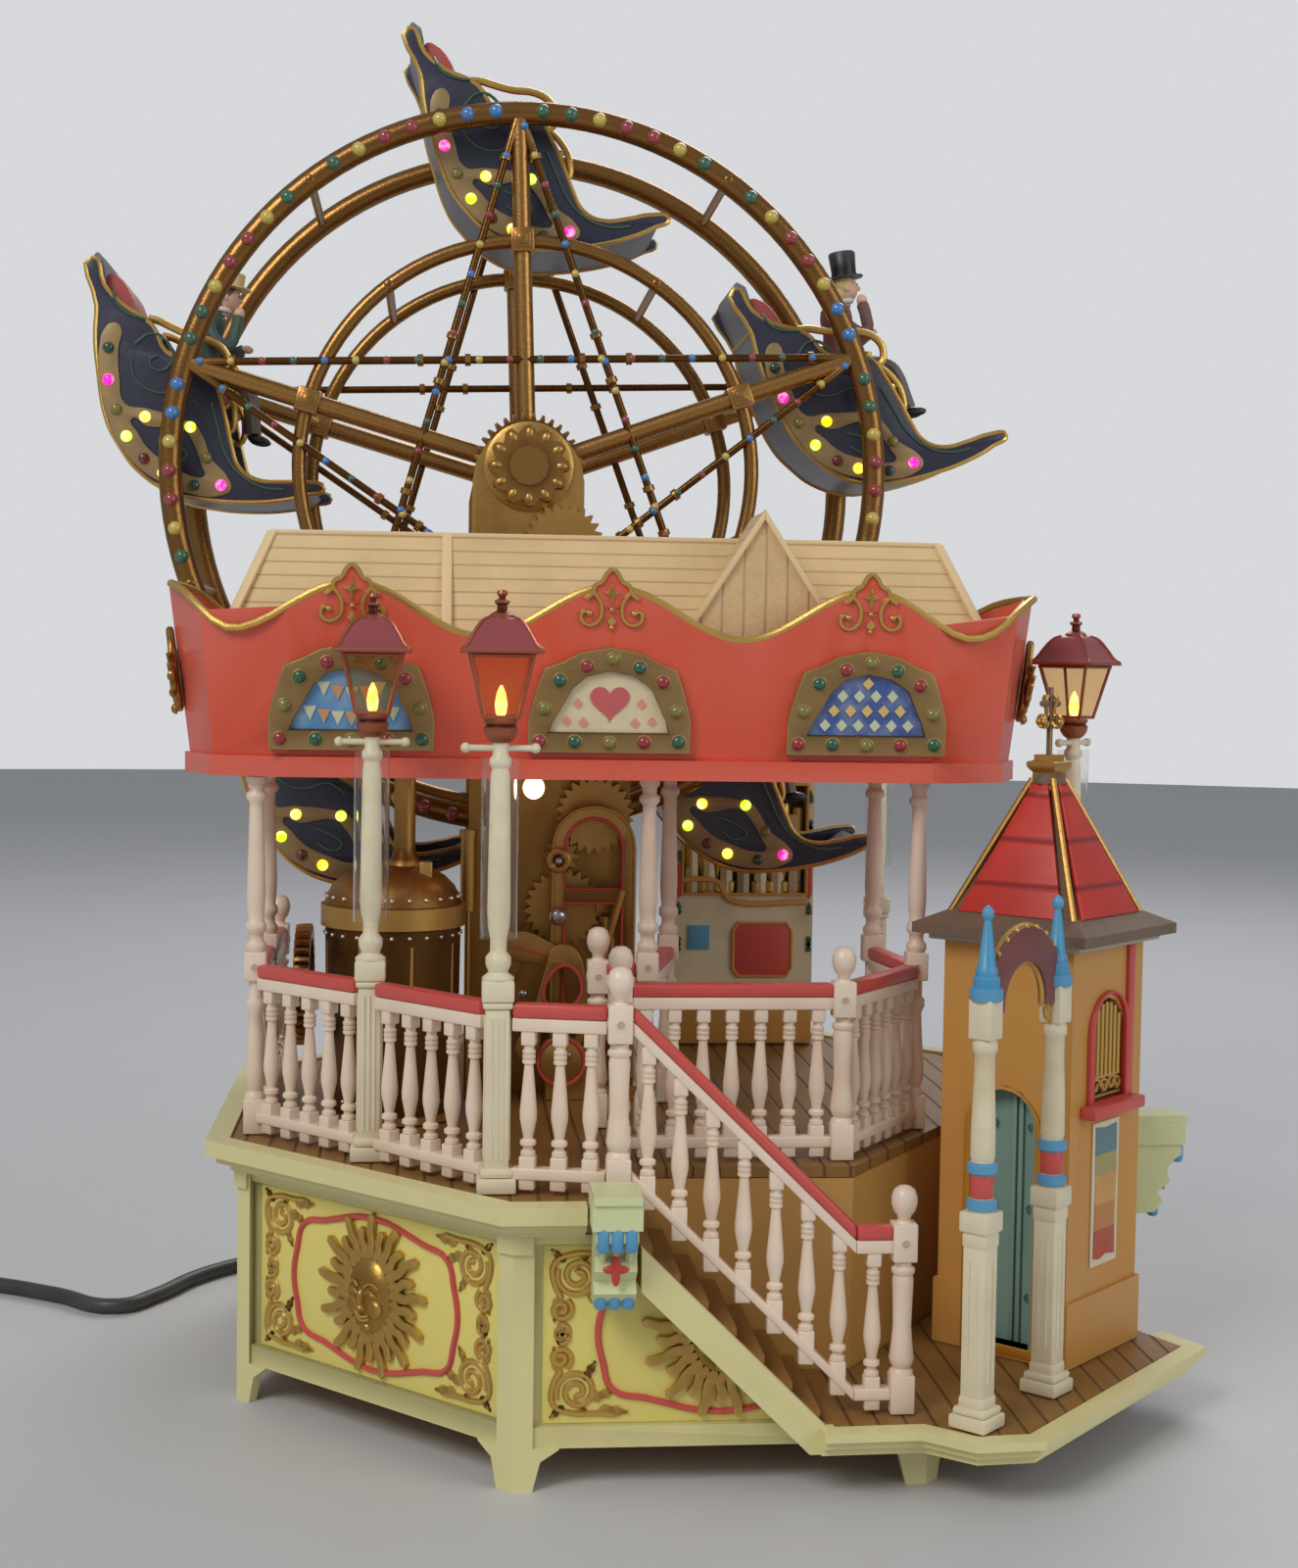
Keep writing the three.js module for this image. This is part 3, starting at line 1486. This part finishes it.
// Steam engine: an arched frame, the boiler with its chimney, and a flywheel on the boiler's shaft
function engineFrame() {
  const half = engine_frame_width / 2;
  const centre = planPoint([-0.182, 0])[0];
  const arch = (radius, foot) => {
    const round = engine_frame_top - half;
    const points = [0, 1, 2, 3, 4, 5, 6].map((step) => {
      const angle = (step * Math.PI) / 6;
      return [centre + radius * Math.cos(angle), round + radius * Math.sin(angle)];
    });
    return [[centre - radius, foot], [centre + radius, foot], ...points];
  };
  const back = engine_frame_front + engine_frame_thickness;
  const foot = deck_top + clearance;
  const inside = half - engine_frame_border;
  const upper = arch(inside, engine_frame_top - half - half);
  const beam_height = engine_frame_border;
  const lower = [
    [centre - inside, foot + half],
    [centre + inside, foot + half],
    [centre + inside, engine_frame_top - 2 * half - beam_height],
    [centre - inside, engine_frame_top - 2 * half - beam_height],
  ];
  const lever_centre = [centre - half / 2, foot + half * 0.68];
  const front = engine_frame_front - engine_frame_thickness / 2;
  return join(
    plate(arch(half, foot), engine_frame_front, back, [[...upper].reverse(), [...lower].reverse()]),
    disc(lever_centre, half * 0.67, front, engine_frame_front + clearance, axle_sides),
    rod(
      [lever_centre[0], front + overrun, lever_centre[1]],
      [centre + inside, front + overrun, engine_frame_top - 2 * half],
      engine_frame_border / 3,
      6,
    ),
    post([centre, (front + back) / 2], foot, foot + engine_frame_border, 2 * half + overrun, back - front),
  );
}

const boiler_place = planPoint([-0.629, -0.14]);
const boiler_sides = 14;
const flywheel_sides = 14;

function boiler() {
  const foot = deck_top + clearance;
  const band = engine_frame_border / 2;
  const profile = [
    [boiler_radius * 0.94, 0],
    [boiler_radius * 0.94, band],
    [boiler_radius * 0.9, band],
    [boiler_radius * 0.94, boiler_shoulder_height - foot],
    [boiler_radius, boiler_shoulder_height - foot],
    [boiler_radius, boiler_shoulder_height - foot + 3 * band],
    [boiler_radius * 0.94, boiler_shoulder_height - foot + 3 * band],
    [boiler_radius * 0.8, boiler_top - foot - 2 * band],
    [boiler_radius * 0.45, boiler_top - foot],
  ];
  const chimney = [boiler_place[0] + chimney_radius, boiler_place[1]];
  const shaft_end = boiler_place[0] - boiler_radius - 2 * flywheel_thickness;
  return join(
    turned(profile, boiler_sides, boiler_place, foot),
    turned(
      [
        [chimney_radius * 1.6, 0],
        [chimney_radius, 3 * band],
        [chimney_radius, canopy_bottom - clearance - boiler_top + band],
      ],
      turned_sides + 2,
      chimney,
      boiler_top - band,
    ),
    rod(
      [shaft_end, boiler_place[1], flywheel_height],
      [boiler_place[0], boiler_place[1], flywheel_height],
      gear_pin_radius,
      axle_sides,
    ),
  );
}

const flywheel_x = boiler_place[0] - boiler_radius - flywheel_thickness;

function flywheel() {
  const half = flywheel_thickness / 2;
  const wheel = (radius, half_width, sides) =>
    rod([-half_width, 0, 0], [half_width, 0, 0], radius, sides);
  const spokes = [0, 1, 2].map((index) => {
    const angle = (index * Math.PI) / 3;
    const length = 2 * flywheel_radius - flywheel_rim;
    return new THREE.BoxGeometry(flywheel_rim, length, flywheel_rim).rotateX(angle);
  });
  const rim = cut(
    wheel(flywheel_radius, half, flywheel_sides),
    wheel(flywheel_radius - flywheel_rim, flywheel_thickness, flywheel_sides),
  );
  return cut(
    join(rim, spokes, wheel(2 * gear_pin_radius, half, axle_sides)),
    wheel(gear_pin_radius + clearance, flywheel_thickness, axle_sides),
  );
}

// Organ: a case with a round-headed pipe front and a bench before it
function organCase() {
  const left = planPoint([0.084, 0])[0];
  const right = left + organ_width;
  const middle = (left + right) / 2;
  const foot = deck_top + clearance;
  const top = foot + organ_height;
  const front = rear_tower_front;
  const back = front + organ_depth;
  const shoulder = top - organ_width / 4;
  const outline = [
    [left, foot],
    [right, foot],
    [right, shoulder],
    [middle + organ_width / 4, top],
    [middle - organ_width / 4, top],
    [left, shoulder],
  ];
  const pipe_radius = organ_width / 18;
  const pipes_bottom = foot + organ_height / 2;
  const recess = block(
    [left + pipe_radius, front - overrun, pipes_bottom],
    [right - pipe_radius, front + 3 * pipe_radius, shoulder - pipe_radius],
  );
  const pipes = [1, 2, 3, 4, 5, 6, 7].map((index) => {
    const x = left + (organ_width * index) / 8;
    const height = (1 - Math.abs(index - 4) / 12) * (shoulder - pipes_bottom) - pipe_radius;
    return rod(
      [x, front + 1.6 * pipe_radius, pipes_bottom - clearance],
      [x, front + 1.6 * pipe_radius, pipes_bottom + height],
      pipe_radius * 0.9,
      turned_sides,
    );
  });
  return join(cut(plate(outline, front, back), recess), pipes);
}

// Booth: a square ticket house set cornerwise on the landing
const booth_place = planPoint([0.717, -0.497]);
const quarter = Math.PI / 4;

const toBooth = (piece) => piece.rotateZ(quarter).translate(...booth_place, 0);

function archOutline(width, height, bottom, steps = 6) {
  const half = width / 2;
  const round = bottom + height - half;
  const arc = Array.from({ length: steps + 1 }, (_, step) => {
    const angle = (step * Math.PI) / steps;
    return [half * Math.cos(angle), round + half * Math.sin(angle)];
  });
  return [[-half, bottom], [half, bottom], ...arc];
}

function boothWalls() {
  const half = booth_side / 2;
  const inside = half - booth_wall;
  const foot = landing_level + clearance;
  const top = booth_eaves_height - clearance;
  const outside = block([-half, -half, foot], [half, half, top]);
  const plinth = block(
    [-half - nose_projection, -half - nose_projection, foot],
    [half + nose_projection, half + nose_projection, foot + booth_door_height / 4],
  );
  const room = block([-inside, -inside, foot + booth_wall], [inside, inside, top + overrun]);
  const door = plate(archOutline(booth_door_width, booth_door_height, foot + booth_wall), -overrun, overrun)
    .rotateZ(-Math.PI / 2)
    .scale(booth_wall, 1, 1)
    .translate(-half, 0, 0);
  const window_bottom = booth_sill_height + booth_wall;
  const opening = plate(
    archOutline(booth_window_width, booth_window_height, window_bottom),
    -half - booth_wall,
    -inside + overrun,
  );
  const sill_half = booth_window_width * 0.75;
  const sill = block(
    [-sill_half, -half - booth_wall, booth_sill_height],
    [sill_half, -half, booth_sill_height + booth_wall * 0.8],
  );
  return toBooth(cut(join(outside, plinth, sill), room, door, opening));
}

function boothRoof() {
  const half = booth_eaves_side / 2;
  const peak = booth_roof_height;
  const under = booth_eaves_thickness;
  const roof = squareTurned(
    [
      [half, 0],
      [half, under],
      [half * 0.7, under + peak * 0.1],
      [booth_wall, peak],
    ],
    [0, 0],
    booth_eaves_height,
  );
  const cap = turned(
    [
      [booth_wall, 0],
      [2 * booth_wall, booth_cap_height * 0.2],
      [booth_wall, booth_cap_height * 0.55],
      [booth_wall * 1.4, booth_cap_height * 0.7],
      [booth_wall * 0.4, booth_cap_height],
    ],
    turned_sides + 2,
    [0, 0],
    booth_eaves_height + peak - clearance,
  );
  const mast = booth_eaves_height + peak + booth_cap_height;
  const finial_top = mast + booth_finial_height;
  const arm = booth_finial_height * 0.25;
  return toBooth(
    join(
      roof,
      cap,
      rod([0, 0, mast - overrun], [0, 0, finial_top], booth_wall / 3, 6),
      rod([-arm, 0, finial_top - arm], [arm, 0, finial_top - arm], booth_wall / 3, 6),
    ),
  );
}

function entranceArch() {
  const [left, right] = [planPoint([0.462, -1.014]), planPoint([0.647, -0.825])];
  const foot = landing_level + clearance;
  const square_top = foot + arch_post_height;
  const width = arch_post_width;
  const posts = [left, right].map((place) => [
    post(place, foot, foot + width / 2, width * 1.25, width * 1.25, quarter),
    post(place, foot, square_top, width * 0.8, width * 0.8, quarter),
    turned(
      [
        [width * 0.36, 0],
        [width * 0.5, width * 0.6],
        [width * 0.42, width * 1.4],
        [width * 0.24, width * 2],
        [width * 0.34, arch_sign_bottom - square_top],
        [width * 0.34, arch_sign_bottom - square_top + 2 * width],
        [width * 0.46, arch_sign_bottom - square_top + 2 * width],
        [width * 0.08, arch_spire_top - square_top],
      ],
      turned_sides,
      place,
      square_top,
    ),
  ]);
  const span = Math.hypot(right[0] - left[0], right[1] - left[1]);
  const middle = between(left, right, 1 / 2);
  const outer = span / 2 + width / 4;
  const inner = outer - width;
  const round = arch_sign_top - outer;
  const arc = (radius) =>
    Array.from({ length: 9 }, (_, step) => {
      const angle = (step * Math.PI) / 8;
      return [radius * Math.cos(angle), round + radius * Math.sin(angle)];
    });
  const sign = plate([...arc(outer), ...arc(inner).reverse()], -width / 6, width / 6)
    .rotateZ(Math.atan2(right[1] - left[1], right[0] - left[0]))
    .translate(...middle, 0);
  return join(posts, sign);
}

// Drive motor, in the cabinet on its bottom plate
function driveMotor() {
  const axis = base_plate_top + clearance + motor_radius;
  const half = motor_length / 2;
  return join(
    rod([-half, 0, axis], [half, 0, axis], motor_radius, axle_sides),
    block([-half, -motor_radius / 2, base_plate_top + clearance], [half, motor_radius / 2, axis]),
    rod([half, 0, axis], [half + motor_radius / 2, 0, axis], gear_pin_radius, turned_sides),
  );
}

// Power switch: a slider in a slot of the back panel
const switch_level = foot_height + bottom_rail_height + 2 * switch_width;

function switchSlider() {
  const half = switch_width / 2;
  const neck_half = half / 2;
  const neck_height = switch_width * 0.2;
  const back = panel_face + clearance;
  const front = wall_inside - clearance;
  return join(
    block([-neck_half, front - overrun, -neck_height], [neck_half, back + overrun, neck_height]),
    block([-half, front - overrun, -neck_height * 1.8], [half, front, neck_height * 1.8]),
    block([-neck_half, back, -neck_height * 1.4], [neck_half, back + overrun, neck_height * 1.4]),
  );
}

function switchSlot() {
  const half = switch_width / 4 + switch_travel / 2 + clearance;
  const high = switch_width * 0.2 + clearance;
  return block(
    [-half, wall_inside - overrun, switch_level - high],
    [half, panel_face + overrun, switch_level + high],
  );
}

// The cord leaves a gland low on the back left face, lies on the table and is coiled to the left
const gland_out = [-Math.SQRT1_2, Math.SQRT1_2];
const gland_along = [-Math.SQRT1_2, -Math.SQRT1_2];
const gland_offset = 31.6;
const gland_length = 5;
const gland_radius = 4.4;
const gland_level = 22;
const cord_half = cord_width / 2;
const cord_level = cord_half + clearance / 3;

function glandPoint(reach) {
  return [0, 1].map((axis) => gland_out[axis] * reach + gland_along[axis] * gland_offset);
}

function gland() {
  const start = [...glandPoint(wall_inside + overrun), gland_level];
  return rod(start, [...glandPoint(panel_face + gland_length), gland_level], gland_radius, axle_sides);
}

// The cord's route between the gland and the coil, chosen along the photographed line
const lead_route = [
  [-129, 85, 15],
  [-136, 87, 5],
  [-142, 83, 2.8],
  [-148, 78, 2.7],
  [-159, 65, 2.7],
  [-171, 42, 2.7],
  [-181, 31, 2.7],
  [-203, 45, 2.7],
  [-225, 58, 2.7],
  [-261, 72, 2.7],
  [-300, 76, 2.7],
];
const lead_end = [-318, 76, 2.7];
const lead_steps = 34;
const cord_sides = 8;
const coil_sides = 6;
const coil_steps = 18;

function cordLead() {
  const start = glandPoint(panel_face + gland_length + clearance);
  const straight = glandPoint(panel_face + gland_length + clearance + cord_width);
  const before_end = [lead_end[0] + cord_width, lead_end[1], lead_end[2]];
  const route = [[...start, gland_level], [...straight, gland_level], ...lead_route, before_end, lead_end];
  const path = new THREE.CatmullRomCurve3(route.map((point) => new THREE.Vector3(...point)), false, "centripetal");
  const section = Array.from({ length: cord_sides }, (_, side) => {
    const angle = (2 * Math.PI * (side + 1 / 2)) / cord_sides;
    return [cord_half * Math.cos(angle), cord_half * Math.sin(angle)];
  });
  return new THREE.ExtrudeGeometry(outlineOf(section), { steps: lead_steps, extrudePath: path });
}

// Two layers of turns: in at the bottom, a climb in the middle half turn, and out again on top
function coilRoute() {
  const start = [lead_end[0] - clearance, lead_end[1], cord_level];
  const centre = [start[0] - cord_width, start[1] - coil_radius];
  const count = coil_steps * coil_turns;
  const climb = 1 / (4 * coil_turns);
  const points = [start];
  for (let index = 0; index <= count; index++) {
    const share = index / count;
    const angle = Math.PI / 2 + 2 * Math.PI * coil_turns * share;
    const inward = Math.min(share, 1 - share) * coil_turns * coil_pitch;
    const rise = Math.min(1, Math.max(0, (share - 1 / 2 + climb) / (2 * climb)));
    const radius = coil_radius - inward;
    points.push([
      centre[0] + radius * Math.cos(angle),
      centre[1] + radius * Math.sin(angle),
      cord_level + rise * coil_pitch,
    ]);
  }
  const end = points.at(-1);
  points.push([end[0] - coil_exit, end[1], end[2]]);
  return points;
}

function cordCoil() {
  const points = coilRoute();
  const up = new THREE.Vector3(0, 0, 1);
  const rings = points.map((point, index) => {
    const before = new THREE.Vector3(...points[Math.max(index - 1, 0)]);
    const after = new THREE.Vector3(...points[Math.min(index + 1, points.length - 1)]);
    const side = after.sub(before).setZ(0).normalize().cross(up);
    return Array.from({ length: coil_sides }, (_, corner) => {
      const angle = (2 * Math.PI * (corner + 1 / 2)) / coil_sides;
      const reach = cord_half * Math.cos(angle);
      return [point[0] + side.x * reach, point[1] + side.y * reach, point[2] + cord_half * Math.sin(angle)];
    });
  });
  return join(loft(rings));
}

// The least gap between turns, measured on the route's points half a turn or more apart
function leastCoilGap() {
  const points = coilRoute();
  let least = Infinity;
  for (let a = 0; a < points.length; a++)
    for (let b = a + coil_steps / 2; b < points.length; b++)
      least = Math.min(least, Math.hypot(...points[a].map((value, axis) => value - points[b][axis])));
  return least - cord_width;
}

function adapter() {
  const start = coilRoute().at(-1);
  const front = start[0] - clearance - gland_length;
  const half = adapter_width / 2;
  return join(
    block([front - adapter_length, start[1] - half, 0], [front, start[1] + half, adapter_height]),
    rod([front - overrun, start[1], start[2]], [front + gland_length, start[1], start[2]], gland_radius, cord_sides),
  );
}

// The whole object, piece by piece
const cabinetShell = cabinetWalls();
addPart("cabinet", cabinetShell, "cream");
addPart("bottom_plate", basePlate(), "tan");
addPart("deck", deckFloor(), "deck");
addPart("deck_cornice", cornice(), "cream");
addPart("riser_wall", riserWall(), "tan");
addPart("landing_and_stairs", landingAndStairs(), "deck");
addPart("landing_trim", landingTrim(), "cream");
addPart("corbel_left", corbel().rotateZ(-Math.PI / 2).translate(...left_corbel_place, 0), "corbel");
addPart("corbel_right", corbel().translate(...right_corbel_place, 0), "corbel");
railPieces();
lamps();
addPart("canopy_fascia", canopyFascia(), "coral");
addPart("canopy_roof", canopyRoof(), "roof");
addPart("wheel_front_frame", frontWheel(), "bronze");
addPart("wheel_back_frame", backWheel(), "bronze");
addPart("wheel_axle", wheelAxle(), "brass");
addPart("front_tower", frontTower(), "brass");
addPart("rear_tower", rearTower(), "brass");
gears();
gondolas();
addPart("engine_frame", engineFrame(), "brass");
addPart("boiler", boiler(), "brass");
addPart("flywheel", flywheel(), "brass", placedGroup(flywheel_x, boiler_place[1], flywheel_height));
addPart("organ_case", organCase(), "booth");
addPart("booth", boothWalls(), "booth");
addPart("booth_roof", boothRoof(), "coral");
addPart("entrance_arch", entranceArch(), "lamp");
addPart("drive_motor", driveMotor(), "black");
addPart("power_switch", switchSlider(), "black", placedGroup(0, 0, switch_level));
const cord_parts = [
  addPart("cord_lead", cordLead(), "black"),
  addPart("cord_coil", cordCoil(), "black"),
  addPart("adapter", adapter(), "black"),
];
console.log("least gap between the coil's turns, mm:", leastCoilGap().toFixed(2));

// The object stands on the plane z = 0 with the middle of its box, cord left out, at the origin
function middleOfBox() {
  root.updateMatrixWorld(true);
  const box = new THREE.Box3();
  root.traverse((piece) => {
    if (piece.isMesh && !cord_parts.includes(piece)) box.expandByObject(piece, true);
  });
  return box.getCenter(new THREE.Vector3());
}

const middle = middleOfBox();
root.position.set(-middle.x, -middle.y, 0);

const ferris_wheel = new THREE.Group();
ferris_wheel.add(root);
export default ferris_wheel;
